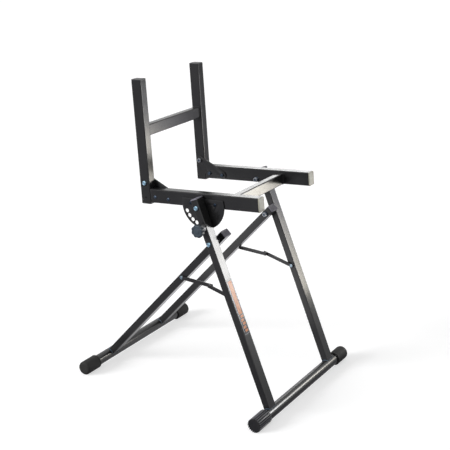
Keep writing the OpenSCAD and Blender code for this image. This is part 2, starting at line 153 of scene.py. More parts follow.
# adds nodes to one new material and links them
class NodeMaker:
    def __init__(self, name):
        self.material = bpy.data.materials.new(name)
        self.material.use_nodes = True
        self.tree = self.material.node_tree
        self.tree.nodes.clear()
        self.coord = self.add("ShaderNodeTexCoord").outputs["Object"]

    def add(self, kind, **values):
        node = self.tree.nodes.new(kind)
        for key, value in values.items():
            setattr(node, key, value)
        return node

    def link(self, a, b):
        self.tree.links.new(a, b)

    def noise(self, scale, detail=4, rough=0.55):
        node = self.add("ShaderNodeTexNoise")
        node.inputs["Scale"].default_value = scale
        node.inputs["Detail"].default_value = detail
        node.inputs["Roughness"].default_value = rough
        self.link(self.coord, node.inputs["Vector"])
        return node.outputs["Fac"]

    # dark up to the first place, light from the second
    def ramp(self, fac, stops):
        node = self.add("ShaderNodeValToRGB")
        for element, (place, colour) in zip(node.color_ramp.elements, stops):
            element.position = place
            element.color = (*colour, 1)
        self.link(fac, node.inputs["Fac"])
        return node.outputs["Color"]

    def spread(self, fac, low, high, fromLow=0.3, fromHigh=0.7):
        node = self.add("ShaderNodeMapRange")
        node.inputs["From Min"].default_value = fromLow
        node.inputs["From Max"].default_value = fromHigh
        node.inputs["To Min"].default_value = low
        node.inputs["To Max"].default_value = high
        self.link(fac, node.inputs["Value"])
        return node.outputs["Result"]

    def bump(self, height, distance, strength, under=None):
        node = self.add("ShaderNodeBump")
        node.inputs["Distance"].default_value = distance
        node.inputs["Strength"].default_value = strength
        self.link(height, node.inputs["Height"])
        if under:
            self.link(under, node.inputs["Normal"])
        return node.outputs["Normal"]

    def combine(self, operation, a, b):
        node = self.add("ShaderNodeMath", operation=operation)
        self.link(a, node.inputs[0])
        self.link(b, node.inputs[1])
        return node.outputs[0]

    # a where fac is 0, b where it is 1; each is a socket or a plain value
    def mix(self, kind, fac, a, b):
        node = self.add("ShaderNodeMix", data_type=kind)
        self.link(fac, node.inputs["Factor"])
        for name, value in (("A", a), ("B", b)):
            if isinstance(value, bpy.types.NodeSocket):
                self.link(value, node.inputs[name])
            else:
                node.inputs[name].default_value = value
        return node.outputs["Result"]

    def finish(self, colour, rough, normal, **plain):
        shader = self.add("ShaderNodeBsdfPrincipled")
        for key, value in plain.items():
            shader.inputs[key.replace("_", " ")].default_value = value
        self.link(colour, shader.inputs["Base Color"])
        self.link(rough, shader.inputs["Roughness"])
        self.link(normal, shader.inputs["Normal"])
        out = self.add("ShaderNodeOutputMaterial")
        self.link(shader.outputs["BSDF"], out.inputs["Surface"])
        return self.material


paint = {
    "dark": (0.009, 0.009, 0.0095),
    "light": (0.014, 0.014, 0.0145),
    "rough": (0.19, 0.25),
    "cloud": 9,
    "gloss": 30,
    "peel": 420,
    "peelDepth": 0.000005,
    "speck": 1500,
    "speckDepth": 0.000004,
}


def makePaint():
    m = NodeMaker("black paint")
    cloud = m.noise(paint["cloud"], 5)
    peel = m.noise(paint["peel"], 2)
    speck = m.noise(paint["speck"], 2, 0.6)
    colour = m.ramp(cloud, [(0.3, paint["dark"]), (0.7, paint["light"])])
    rough = m.spread(m.noise(paint["gloss"], 6, 0.6), *paint["rough"])
    normal = m.bump(peel, paint["peelDepth"], 0.5, m.bump(speck, paint["speckDepth"], 0.3))
    return m.finish(colour, rough, normal, IOR=1.5)


rubber = {
    "dark": (0.013, 0.013, 0.013),
    "light": (0.021, 0.021, 0.020),
    "rough": (0.62, 0.78),
    "shine": 0.3,
    "cloud": 45,
    "grain": 1700,
    "grainDepth": 0.00003,
}


def makeRubber():
    m = NodeMaker("black rubber")
    cloud = m.noise(rubber["cloud"], 6, 0.6)
    grain = m.noise(rubber["grain"], 3, 0.6)
    colour = m.ramp(cloud, [(0.25, rubber["dark"]), (0.75, rubber["light"])])
    rough = m.spread(cloud, *rubber["rough"])
    normal = m.bump(grain, rubber["grainDepth"], 0.5)
    return m.finish(colour, rough, normal, IOR=1.45, Specular_IOR_Level=rubber["shine"])


# each zinc: dark and light colour, lowest and highest roughness
zincs = {
    "blue zinc": ((0.26, 0.42, 0.54), (0.42, 0.62, 0.76), 0.24, 0.40),
    "dark zinc": ((0.05, 0.07, 0.10), (0.10, 0.13, 0.18), 0.28, 0.42),
    "blackened zinc": ((0.018, 0.028, 0.042), (0.036, 0.050, 0.070), 0.34, 0.46),
    "rivet zinc": ((0.26, 0.34, 0.41), (0.38, 0.47, 0.54), 0.28, 0.42),
    "plain zinc": ((0.30, 0.31, 0.33), (0.46, 0.47, 0.49), 0.30, 0.44),
    "turned zinc": ((0.13, 0.13, 0.135), (0.20, 0.20, 0.205), 0.46, 0.58),
}
zincGrain = {"cloud": 160, "gloss": 320, "grain": 2600, "depth": 0.00002}


def makeZinc(name, dark, light, roughLow, roughHigh):
    m = NodeMaker(name)
    cloud = m.noise(zincGrain["cloud"], 5, 0.6)
    grain = m.noise(zincGrain["grain"], 2, 0.6)
    colour = m.ramp(cloud, [(0.3, dark), (0.7, light)])
    rough = m.spread(m.noise(zincGrain["gloss"], 4), roughLow, roughHigh)
    normal = m.bump(grain, zincGrain["depth"], 0.4)
    return m.finish(colour, rough, normal, Metallic=1.0)


# the moulded, painted and printed finishes: as above, then the depth of the grain
plastics = {
    "black plastic": ((0.012, 0.012, 0.013), (0.022, 0.022, 0.024), 0.32, 0.46, 0.00004),
    "pale plastic": ((0.25, 0.24, 0.19), (0.32, 0.31, 0.25), 0.40, 0.55, 0.00003),
    "leg plug plastic": ((0.125, 0.118, 0.148), (0.160, 0.152, 0.185), 0.36, 0.48, 0.00002),
    "knob plastic": ((0.018, 0.025, 0.034), (0.030, 0.041, 0.054), 0.38, 0.50, 0.00003),
    "weld paint": ((0.018, 0.034, 0.054), (0.032, 0.056, 0.084), 0.22, 0.34, 0.00001),
    # the ribbed cap's rubber, lighter than the plain caps': partly its grey, partly painted highlight on the
    # ridges
    "ribbed cap rubber with painted ridge highlight": ((0.075, 0.075, 0.088), (0.105, 0.105, 0.123), 0.36, 0.46, 0.00002),
    # near-black copy of the cap's rubber: painted shade in the grooves and on the closed end
    "rubber painted dark as groove shade": ((0.003, 0.003, 0.004), (0.006, 0.006, 0.007), 0.62, 0.74, 0.00002),
    "label film": ((0.014, 0.015, 0.019), (0.022, 0.024, 0.030), 0.24, 0.32, 0.000004),
    "label orange": ((0.80, 0.21, 0.025), (0.92, 0.29, 0.045), 0.30, 0.40, 0.000006),
    "label silver": ((0.50, 0.51, 0.53), (0.66, 0.67, 0.69), 0.22, 0.32, 0.000006),
}
plasticGrain = {"cloud": 70, "gloss": 210, "grain": 1900}


def makePlastic(name, dark, light, roughLow, roughHigh, depth):
    m = NodeMaker(name)
    cloud = m.noise(plasticGrain["cloud"], 4)
    grain = m.noise(plasticGrain["grain"], 2, 0.55)
    colour = m.ramp(cloud, [(0.3, dark), (0.7, light)])
    rough = m.spread(m.noise(plasticGrain["gloss"], 4), roughLow, roughHigh)
    normal = m.bump(grain, depth, 0.5)
    return m.finish(colour, rough, normal, IOR=1.48)


looks = {"black paint": makePaint(), "black rubber": makeRubber()}
looks.update({name: makeZinc(name, *values) for name, values in zincs.items()})
looks.update({name: makePlastic(name, *values) for name, values in plastics.items()})
# the finish of each material slot, where a piece names no look of its own
slotLooks = {
    "black_paint": looks["black paint"],
    "rubber": looks["black rubber"],
    "zinc_steel": looks["blue zinc"],
    "black_plastic": looks["black plastic"],
    "pale_plastic": looks["pale plastic"],
}
slots = {s["node"]: s["material_slot"] for s in frame["record"]["subparts"]}
for nodeName, node in nodes.items():
    node.data.materials.clear()
    node.data.materials.append(slotLooks[slots[nodeName]])
print("materials made:", len(looks))

# helpers that make a piece
sizes = {
    "bolt": 6.4 * mm,
    "boltFlats": 11.1 * mm,
    "headTall": 4.2 * mm,
    "nutTall": 5.6 * mm,
    "washer": 14 * mm,
    "washerTall": 1.6 * mm,
    "threadDeep": 0.55,  # share of the pitch
    "gap": 0.3 * mm,  # room between a moving piece and its neighbour
}
sharpAngle = math.radians(32)  # a steeper fold is drawn as an edge
plainBevel = {"profile": 0.5, "affect": "EDGES", "material": -1}


def onSide(side):
    return mirrorX if side < 0 else Matrix()


# local z runs across the stand, outwards from x on the chosen side
def acrossX(place, x, side=1):
    return onSide(side) @ place @ moved(x, 0, 0) @ alongX


def linkedEdges(verts):
    return list({e for v in verts for e in v.link_edges})


# a tube of rings: each ring gives a radius and a height for an angle
def ringStack(bm, rings, place, steps=48, hollow=False):
    verts = bmesh.ops.create_circle(bm, segments=steps, radius=1)["verts"]
    edges = linkedEdges(verts)
    everyVert, firstEdges = [], edges
    for number, ring in enumerate(rings):
        if number:
            grown = bmesh.ops.extrude_edge_only(bm, edges=edges)["geom"]
            verts = [g for g in grown if isinstance(g, bmesh.types.BMVert)]
            fresh = set(verts)
            edges = [g for g in grown
                     if isinstance(g, bmesh.types.BMEdge) and set(g.verts) <= fresh]
        for v in verts:
            angle = math.atan2(v.co.y, v.co.x)
            radius, height = ring(angle)
            v.co = (radius * math.cos(angle), radius * math.sin(angle), height)
        everyVert += verts
    if hollow:
        bmesh.ops.bridge_loops(bm, edges=firstEdges + edges)
    else:
        bmesh.ops.contextual_create(bm, geom=firstEdges)
        bmesh.ops.contextual_create(bm, geom=edges)
    bmesh.ops.transform(bm, matrix=place, verts=everyVert)


def circle(radius, height):
    return lambda angle: (radius, height)


def lathe(bm, profile, place, steps=48, hollow=False):
    ringStack(bm, [circle(*p) for p in profile], place, steps, hollow)


# a hexagon whose corners a 30 degree cone cuts back, up or down
def hexagon(flats, height, chamfer):
    coneStart, coneSlope = 0.485, 0.577

    def ring(angle):
        turn = (math.degrees(angle) % 60) - 30
        radius = flats / 2 / math.cos(math.radians(turn))
        cut = max(0.0, radius - flats * coneStart) * coneSlope
        return radius, height + chamfer * cut
    return ring


def hexHead(bm, place, flats, tall, dish=0.8 * mm):
    ringStack(bm, [
        circle(flats * 0.46, 0),  # round seat
        circle(flats * 0.46, 0.35 * mm),
        hexagon(flats, 0.36 * mm, 0),
        hexagon(flats, tall - 0.75 * mm, -1),
        circle(flats * 0.43, tall),
        circle(flats * 0.31, tall),
        circle(flats * 0.25, tall - 0.75 * dish),  # hollow in the top
        circle(flats * 0.1, tall - dish),
    ], place)


def hexNut(bm, place, flats, tall, bore):
    soft = 0.5 * mm
    ringStack(bm, [
        circle(bore * 0.5, tall - soft),
        circle(bore * 0.5 + soft, tall),
        circle(flats * 0.47, tall),
        hexagon(flats, tall - 0.3 * mm, -1),
        hexagon(flats, 0.3 * mm, 1),
        circle(flats * 0.47, 0),
        circle(bore * 0.5 + soft, 0),
        circle(bore * 0.5, soft),
    ], place, hollow=True)


# a bolt end with its thread, and a chamfered tip
def threaded(bm, place, size, long, pitch=1.0 * mm):
    outer, root = size / 2, size / 2 - sizes["threadDeep"] * pitch
    profile, z = [(outer, 0)], pitch * 0.3
    while z < long - pitch:
        profile += [(outer, z), (root, z + pitch * 0.5)]
        z += pitch
    profile += [(outer * 0.98, long - 0.7 * mm), (outer * 0.8, long)]
    lathe(bm, profile, place, 28)


# from the seat up over a low dome
def domeProfile(radius, tall, lip):
    steps = 6
    angles = [math.pi / 2 * k / steps for k in range(steps)]
    rise = [(radius * math.cos(a), lip + (tall - lip) * math.sin(a)) for a in angles]
    return [(radius, 0)] + rise + [(radius * 0.08, tall)]


def washerRing(bm, place, outer, bore, thick, soft=0.25 * mm):
    rim = outer / 2
    lathe(bm, [(bore / 2, 0), (rim - soft, 0), (rim, soft), (rim, thick - soft),
               (rim - soft, thick), (bore / 2, thick)], place, hollow=True)


def addPiece(name, bm, body, slotName, replaced=(), look=None):
    bmesh.ops.remove_doubles(bm, verts=bm.verts, dist=0.001 * mm)
    bmesh.ops.recalc_face_normals(bm, faces=bm.faces)
    for face in bm.faces:
        face.smooth = True
    for edge in bm.edges:
        if len(edge.link_faces) == 2 and edge.calc_face_angle(0) > sharpAngle:
            edge.smooth = False
    mesh = bpy.data.meshes.new(name)
    bm.to_mesh(mesh)
    bm.free()
    mesh.materials.append(looks[look] if look else slotLooks[slotName])
    piece = bpy.data.objects.new(name, mesh)
    bpy.context.scene.collection.objects.link(piece)
    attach(piece, body)
    if replaced:
        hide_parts(*replaced)
    return piece


# foot caps
footCap = {
    "long": 56 * mm,
    "ribbedLong": 60 * mm,
    "bore": 15.0 * mm,
    "endThick": 5 * mm,
    "rounding": 7 * mm,
    "waist": 0.1 * mm,
    "throw": 1.5 * mm,  # how far the ribbed cap's bore is off its centre
    "ribs": 20,
    "ribDeep": 3.2 * mm,
    "grooveSteep": 2.4,
    "grooveShare": 0.66,
    "paintedShadeFrom": 0.4,  # share of a groove's depth where its painted shade starts
}


# local z runs from the cap's open end to its closed one
def plainCap(bm, place):
    r, bore, long = stand["capRadius"], footCap["bore"], footCap["long"]
    rounding, waist = footCap["rounding"], footCap["waist"]
    profile = [
        (bore, long - footCap["endThick"]), (bore, 0.5 * mm), (bore + 0.5 * mm, 0),
        (r - 1.2 * mm, 0), (r - 0.35 * mm, 0.35 * mm), (r, 1.2 * mm),  # rim at the open end
        (r, 4.6 * mm), (r - 0.45 * mm, 5.2 * mm),  # groove behind the rim
        (r - 0.45 * mm, 6.0 * mm), (r - waist, 6.6 * mm),
    ]
    for k in range(9):
        angle = math.radians(90 * k / 8)
        profile.append((r - waist - rounding * (1 - math.cos(angle)),
                        long - rounding * (1 - math.sin(angle))))
    profile += [(6 * mm, long), (5.4 * mm, long - 0.4 * mm)]
    lathe(bm, profile, place, 72)


def ribbedCap(bm, place):
    r, bore, long = stand["capRadius"], footCap["bore"], footCap["ribbedLong"]
    count, deep = footCap["ribs"], footCap["ribDeep"]

    def ribbed(height, inset=0.0):
        def ring(angle):
            wave = 0.5 - 0.5 * math.cos(count * angle)
            groove = footCap["grooveSteep"] * (1 - wave / footCap["grooveShare"])
            return r - inset - deep * min(1.0, max(0.0, groove)), height
        return ring
    rings = [
        circle(bore, long - footCap["endThick"]), circle(bore, 0.4 * mm),
        circle(bore + 0.4 * mm, 0), ribbed(0, 1.0 * mm), ribbed(0.3 * mm, 0.3 * mm),
        ribbed(1.0 * mm), ribbed(long - 0.9 * mm), ribbed(long - 0.25 * mm, 0.25 * mm),
        ribbed(long, 0.8 * mm), circle(r - 4.2 * mm, long), circle(r - 4.6 * mm, long - 0.3 * mm),
    ]
    ringStack(bm, rings, place, count * 12)
    for face in bm.faces:  # grooves and the closed end are painted darker than the ribs, as shade
        middle = place.inverted() @ face.calc_center_median()
        if middle.xy.length < r - footCap["paintedShadeFrom"] * deep or middle.z > long - 1 * mm:
            face.material_index = 1


def barPoint(nodeName):
    return Vector((0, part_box(nodeName)[0][1] + stand["barRadius"], stand["capRadius"]))


frontBar = barPoint("front_foot_bar")
rearBar = barPoint("rear_foot_bar")
capStart = stand["footHalf"] - footCap["long"]

bm = bmesh.new()
plainCap(bm, acrossX(Matrix.Translation(frontBar), capStart))
addPiece("front_cap", bm, "front_frame", "rubber", ["front_cap_right"])
for side, nodeName in ((-1, "rear_cap_left"), (1, "rear_cap_right")):
    bm = bmesh.new()
    plainCap(bm, acrossX(Matrix.Translation(rearBar), capStart, side))
    addPiece(nodeName + "_moulded", bm, "rear_frame", "rubber", [nodeName])
bm = bmesh.new()
ribbedCap(bm, acrossX(Matrix.Translation(frontBar) @ moved(0, footCap["throw"], 0),
                      stand["footHalf"] - footCap["ribbedLong"], -1))
piece = addPiece("levelling_cap_ribbed", bm, "levelling_cap", "rubber", ["levelling_cap"],
                 "ribbed cap rubber with painted ridge highlight")
piece.data.materials.append(looks["rubber painted dark as groove shade"])
print("caps made")

# bolts, nuts and washers on the three pivots: head and nut are the places of their seats
washerRoom = sizes["washerTall"] + sizes["gap"]
pivots = {
    "fold": {"place": foldPlace, "body": "front_frame",
             "head": stand["frontOut"], "nut": stand["rearIn"] - washerRoom},
    "tilt": {"place": tiltPlace, "body": "front_frame",
             "head": stand["frontOut"], "nut": stand["armIn"] - washerRoom},
    "backrest": {"place": hingePlace, "body": "cradle",
                 "head": stand["uprightOut"] + sizes["gap"],
                 "nut": stand["armIn"] - stand["plateThick"]},
}

for name, pivot in pivots.items():
    place, body, head, nut = (pivot[k] for k in ("place", "body", "head", "nut"))
    bm = bmesh.new()
    for side in bothSides:
        hexHead(bm, acrossX(place, head, side), sizes["boltFlats"], sizes["headTall"])
    addPiece(name + "_bolts_hex", bm, body, "zinc_steel", [name + "_bolts"])
    bm = bmesh.new()
    for side in bothSides:  # from inside the head to just past the nut
        threaded(bm, acrossX(place, head + 1 * mm, side) @ flip, sizes["bolt"],
                 head - nut + sizes["nutTall"] + 2 * mm)
    addPiece(name + "_bolt_threads", bm, body, "zinc_steel", look="dark zinc")
    bm = bmesh.new()
    for side in bothSides:
        hexNut(bm, acrossX(place, nut - sizes["nutTall"], side), sizes["boltFlats"],
               sizes["nutTall"], sizes["bolt"] - 0.3 * mm)
    addPiece(name + "_nuts_hex", bm, body, "zinc_steel", [name + "_nuts"], "plain zinc")
    if name == "backrest":  # its nuts sit on the hinge plates
        continue
    bm = bmesh.new()
    for side in bothSides:
        washerRing(bm, acrossX(place, nut, side), sizes["washer"], sizes["bolt"] + 0.2 * mm,
                   sizes["washerTall"])
    addPiece(name + "_washers_round", bm, body, "zinc_steel", [name + "_washers"], "dark zinc")

bm = bmesh.new()
for side in bothSides:
    washerRing(bm, acrossX(foldPlace, stand["rearOut"] + sizes["gap"], side), sizes["washer"],
               sizes["bolt"] + 0.2 * mm, stand["frontIn"] - stand["rearOut"] - sizes["gap"],
               0.5 * mm)
addPiece("fold_spacers_round", bm, "front_frame", "zinc_steel", ["fold_spacers"], "black plastic")
print("pivot bolts made")

# screws of the hinge plates and of the disc: their places are along the arm and up it
screws = {
    "plateAt": [(152 * mm, 16 * mm), (110 * mm, 13 * mm)],
    "head": 9.5 * mm,
    "tall": 2.6 * mm,
    "nut": 8 * mm,
    "nutTall": 4 * mm,
    "nutBore": 4.7 * mm,
    "thread": 5 * mm,
    "pitch": 0.8 * mm,
    "discAt": [(-37 * mm, 10.5 * mm), (37 * mm, 10.5 * mm)],
    "discHead": 9 * mm,
    "discTall": 2.2 * mm,
    "discShank": 2.5 * mm,
    "shankLong": 8 * mm,
}


def onArm(along, up):
    return armPlace @ moved(0, along, up - stand["pivotUp"])


bm = bmesh.new()
nutStart = stand["armIn"] - stand["plateThick"] - screws["nutTall"]
for side in bothSides:
    for along, up in screws["plateAt"]:
        place = onArm(along, up)
        lathe(bm, domeProfile(screws["head"] / 2, screws["tall"], 0.5 * mm),
              acrossX(place, stand["armOut"], side), 32)
        hexNut(bm, acrossX(place, nutStart, side), screws["nut"], screws["nutTall"],
               screws["nutBore"])
        threaded(bm, acrossX(place, stand["armOut"] + 0.5 * mm, side) @ flip, screws["thread"],
                 stand["armOut"] - nutStart + 1.3 * mm, screws["pitch"])
addPiece("plate_bolts_domed", bm, "cradle", "zinc_steel", ["plate_bolts_and_nuts"], "dark zinc")
bm = bmesh.new()
for along, up in screws["discAt"]:
    place = acrossX(onArm(along, up), stand["armOut"] + stand["discThick"], -1)
    lathe(bm, domeProfile(screws["discHead"] / 2, screws["discTall"], 0.4 * mm), place, 32)
    lathe(bm, [(screws["discShank"], 0.2 * mm), (screws["discShank"], -screws["shankLong"])],
          place, 24)
addPiece("disc_screws_domed", bm, "cradle", "zinc_steel", ["disc_screws"], "blackened zinc")
print("screws made")

# the drilled disc, hinge plates and brace links: their solids with the edges eased
eased = {
    "edge": 0.35 * mm,
    "bodies": {
        "tilt_disc": "cradle",
        "hinge_plate_left": "cradle",
        "hinge_plate_right": "cradle",
        "front_link_left": "left_front_link",
        "front_link_right": "right_front_link",
        "rear_link_left": "left_rear_link",
        "rear_link_right": "right_rear_link",
    },
}


def easedCopy(nodeName):
    bm = bmesh.new()
    bm.from_mesh(nodes[nodeName].data)
    bmesh.ops.remove_doubles(bm, verts=bm.verts, dist=0.002 * mm)
    bmesh.ops.dissolve_limit(bm, angle_limit=math.radians(1), verts=bm.verts, edges=bm.edges)
    sharp = [e for e in bm.edges
             if len(e.link_faces) == 2 and e.calc_face_angle(0) > sharpAngle]
    bmesh.ops.bevel(bm, geom=sharp, offset=eased["edge"], segments=2, clamp_overlap=True,
                    **plainBevel)
    return bm


for nodeName, body in eased["bodies"].items():
    addPiece(nodeName + "_eased", easedCopy(nodeName), body, "black_paint", [nodeName])
print("disc, plates and links made")

# brace rivets: front and rear are how far down the legs they are from the fold
brace = {
    "front": 165 * mm,
    "rear": 172 * mm,
    "linkWide": 10 * mm,
    "linkThick": 2.5 * mm,
    "clear": 1.8 * mm,
    "head": 4.5 * mm,
    "headTall": 1.0 * mm,
    "pivotTall": 1.2 * mm,
    "lip": 0.3 * mm,
    "shank": 3 * mm,
    "shankLong": 8 * mm,
}
frontLinkX = stand["frontIn"] - brace["clear"] - brace["linkThick"]
rearLinkX = stand["rearOut"] + brace["clear"]
rearLinkOut = rearLinkX + brace["linkThick"] + sizes["gap"]
collarOut = brace["linkWide"] / 2
collarIn = -brace["linkThick"] - 2 * sizes["gap"]
for name, body, leg in (("front", "front_frame", frontLeg), ("rear", "rear_frame", rearLeg)):
    rivet = leg @ moved(0, 0, -brace[name])
    bm = bmesh.new()
    for side in bothSides:
        if name == "front":  # head faces the middle of the stand
            place = acrossX(rivet, frontLinkX - sizes["gap"], side) @ flip
        else:
            place = acrossX(rivet, rearLinkOut, side)
        lathe(bm, domeProfile(brace["head"], brace["headTall"], brace["lip"]), place, 32)
        lathe(bm, [(brace["shank"], 0.1 * mm), (brace["shank"], -brace["shankLong"])], place, 24)
        lathe(bm, [(collarOut - 0.3 * mm, collarIn - 1.5 * mm),
                   (collarOut, collarIn - 1.2 * mm), (collarOut, collarIn)], place, 32)
    addPiece(name + "_rivets_domed", bm, body, "zinc_steel", [name + "_brace_rivets"],
             "rivet zinc")


def nodeCentre(nodeName):
    low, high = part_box(nodeName)
    return (Vector(low) + Vector(high)) / 2


# the rivet in a brace's middle: shoulder and outer head on the front link, inner head on the rear
pivotDome = domeProfile(brace["head"], brace["pivotTall"], brace["lip"])
for side, word in ((-1, "left"), (1, "right")):
    middle = moved(0, *nodeCentre("link_pivot_" + word)[1:])
    bm = bmesh.new()
    place = acrossX(middle, frontLinkX + brace["linkThick"], side)
    lathe(bm, pivotDome, place, 32)
    low = rearLinkOut - frontLinkX - brace["linkThick"]
    lathe(bm, [(collarOut - 0.3 * mm, low), (collarOut, low + 0.3 * mm),
               (collarOut, -brace["linkThick"]), (brace["shank"], -brace["linkThick"]),
               (brace["shank"], 0.1 * mm)], place, 32)
    addPiece("link_pivot_" + word + "_domed", bm, word + "_front_link", "black_paint",
             ["link_pivot_" + word])
    bm = bmesh.new()
    place = acrossX(middle, rearLinkX, side) @ flip
    lathe(bm, pivotDome, place, 32)
    lathe(bm, [(brace["shank"], 0.1 * mm), (brace["shank"], -brace["linkThick"])], place, 24)
    addPiece("link_head_" + word + "_domed", bm, word + "_rear_link", "black_paint",
             ["link_head_" + word])
print("brace rivets made")

# tilt lock: guide bushing, pin and lobed knob
lock = {
    "bushing": 10 * mm,
    "bushingLong": 10 * mm,
    "pin": 5.2 * mm,
    "pinClear": 0.05 * mm,
    "travel": 7.4 * mm,
    "knob": 17.5 * mm,
    "knobThick": 13 * mm,
    "lobes": 8,
    "lobeDeep": 1.7 * mm,
    "lobeCurve": 1.3,
}
bm = bmesh.new()
outer, long, bore = lock["bushing"], lock["bushingLong"], lock["pin"] + lock["pinClear"]
lathe(bm, [(bore, 0), (outer, 0), (outer, long - 0.9 * mm), (outer - 0.9 * mm, long),
           (bore + 0.5 * mm, long), (bore, long - 0.5 * mm)],
      acrossX(lockPlace, stand["frontOut"], -1), 64, hollow=True)
addPiece("lock_bushing_turned", bm, "front_frame", "zinc_steel", ["lock_bushing"], "turned zinc")

knobStart = stand["frontOut"] + long + lock["travel"] + sizes["gap"]
pin, reach = lock["pin"], knobStart - stand["frontIn"]
bm = bmesh.new()
lathe(bm, [(pin - 1.0 * mm, 0), (pin, 1.0 * mm), (pin, reach - 0.3 * mm),
           (pin - 0.3 * mm, reach), (pin - 1.5 * mm, reach),
           (pin - 1.5 * mm, reach + lock["knobThick"] - 4 * mm)],  # held inside the knob
      acrossX(lockPlace, stand["frontIn"], -1))
addPiece("lock_pin_turned", bm, "lock_plunger", "zinc_steel", ["lock_pin"], "turned zinc")


# share is how much of the lobes' depth this ring has
def lobed(inset, height, share=1.0):
    def ring(angle):
        notch = (0.5 - 0.5 * math.cos(lock["lobes"] * angle)) ** lock["lobeCurve"]
        return lock["knob"] - inset - lock["lobeDeep"] * share * notch, height
    return ring


knobTop = lock["knobThick"]
bm = bmesh.new()
ringStack(bm, [
    circle(9 * mm, 0.6 * mm), circle(9.6 * mm, 0),
    lobed(3.2 * mm, 0, 0.6), lobed(1.5 * mm, 0.4 * mm, 0.9), lobed(0.4 * mm, 1.4 * mm),
    lobed(0, 2.8 * mm), lobed(0, knobTop - 3.4 * mm),
    lobed(0.35 * mm, knobTop - 1.8 * mm), lobed(1.2 * mm, knobTop - 0.6 * mm, 0.95),
    lobed(2.6 * mm, knobTop, 0.8), lobed(4.6 * mm, knobTop, 0.5),
    circle(9.4 * mm, knobTop - 0.25 * mm),
    circle(8.8 * mm, knobTop - 0.7 * mm),  # a ring cut into the face
    circle(8.2 * mm, knobTop - 0.3 * mm), circle(3 * mm, knobTop),
], acrossX(lockPlace, knobStart, -1), 96)
addPiece("lock_knob_lobed", bm, "lock_plunger", "black_plastic", ["lock_knob"], "knob plastic")
print("lock made")

# tube end plugs, as wide and deep as their tubes
plug = {
    "leg": (30 * mm, 20 * mm),
    "arm": (25 * mm, 37 * mm),
    "upright": (25 * mm, 30 * mm),
    "tall": 2.5 * mm,
    "edge": 0.9 * mm,
    "rim": 2.2 * mm,
    "slope": 0.5 * mm,
    "hollow": 0.35 * mm,
}


# rounded corners, a softer rounding around the top, and a shallow hollow in it
def endPlug(bm, place, size):
    block = bmesh.new()
    tall = plug["tall"]
    bmesh.ops.create_cube(block, size=1)
    bmesh.ops.scale(block, vec=(*size, tall), verts=block.verts)
    bmesh.ops.translate(block, vec=(0, 0, tall / 2), verts=block.verts)
    upright = [e for e in block.edges if abs(e.verts[0].co.z - e.verts[1].co.z) > tall / 2]
    bmesh.ops.bevel(block, geom=upright, offset=stand["tubeRound"], segments=4, **plainBevel)
    top = max(block.faces, key=lambda f: f.calc_center_median().z)
    bmesh.ops.bevel(block, geom=list(top.edges), offset=plug["edge"], segments=3, **plainBevel)
    top = max(block.faces, key=lambda f: (round(f.calc_center_median().z, 6), f.calc_area()))
    bmesh.ops.inset_individual(block, faces=[top], thickness=plug["rim"], depth=0)
    bmesh.ops.inset_individual(block, faces=[top], thickness=plug["slope"],
                               depth=-plug["hollow"])
    bmesh.ops.transform(block, matrix=place, verts=block.verts)
    mesh = bpy.data.meshes.new("plug")
    block.to_mesh(mesh)
    block.free()
    bm.from_mesh(mesh)
    bpy.data.meshes.remove(mesh)


def plugsOn(nodeName, body, slotName, places, size, look=None):
    bm = bmesh.new()
    for side in bothSides:
        for place in places:
            endPlug(bm, onSide(side) @ place, size)
    addPiece(nodeName + "_moulded", bm, body, slotName, [nodeName], look)


legX = (stand["frontIn"] + stand["frontOut"]) / 2
rearX = (stand["rearIn"] + stand["rearOut"]) / 2
armX = (stand["armIn"] + stand["armOut"]) / 2
uprightX = (stand["uprightIn"] + stand["uprightOut"]) / 2
armMid = stand["armHeight"] / 2 - stand["pivotUp"]
hingeUp = stand["armHeight"] + stand["uprightClear"] + stand["uprightDepth"] / 2
plugTall = plug["tall"]
headEnd = stand["legHead"] - plugTall
plugsOn("front_leg_plugs", "front_frame", "black_plastic",
        [frontLeg @ moved(legX, 0, stand["tiltAt"] + headEnd)], plug["leg"], "leg plug plastic")
plugsOn("rear_leg_plugs", "rear_frame", "black_plastic",
        [rearLeg @ moved(rearX, 0, headEnd)], plug["leg"], "leg plug plastic")
plugsOn("arm_front_plugs", "cradle", "pale_plastic",
        [armPlace @ moved(armX, plugTall - stand["armFront"], armMid) @ turned(90)], plug["arm"])
plugsOn("arm_back_plugs", "cradle", "black_plastic",
        [armPlace @ moved(armX, stand["armBack"] - plugTall, armMid) @ turned(-90)], plug["arm"])
plugsOn("upright_plugs", "backrest", "black_plastic",
        [uprightPlace @ moved(uprightX, 0, stand["uprightTop"] - plugTall - hingeUp),
         uprightPlace @ moved(uprightX, 0, plugTall - stand["uprightLow"] - hingeUp) @ flip],
        plug["upright"])
print("plugs made")

# weld beads
weld = {
    "radius": 1.5 * mm,
    "crossbarRadius": 1.2 * mm,
    "bushingRadius": 1.1 * mm,
    "spacing": 1.1 * mm,
    "ripple": 0.13,
    "drift": 0.06,
    "driftTurn": 0.37,
    "sunk": 0.4 * mm,
}


# round sections along a closed path: a ripple every four sections, and a slow drift in size
def bead(bm, path, radius):
    loops, count = [], len(path)
    for k, point in enumerate(path):
        ahead = (path[(k + 1) % count] - path[k - 1]).normalized()
        turn = ahead.to_track_quat("Z", "Y").to_matrix().to_4x4()
        swell = (1 + weld["ripple"] * math.sin(k * math.pi / 2)
                 + weld["drift"] * math.sin(k * weld["driftTurn"]))
        ring = bmesh.ops.create_circle(bm, segments=8, radius=radius * swell,
                                       matrix=Matrix.Translation(point) @ turn)["verts"]
        loops.append(linkedEdges(ring))
    for k in range(count):
        bmesh.ops.bridge_loops(bm, edges=loops[k] + loops[(k + 1) % count])


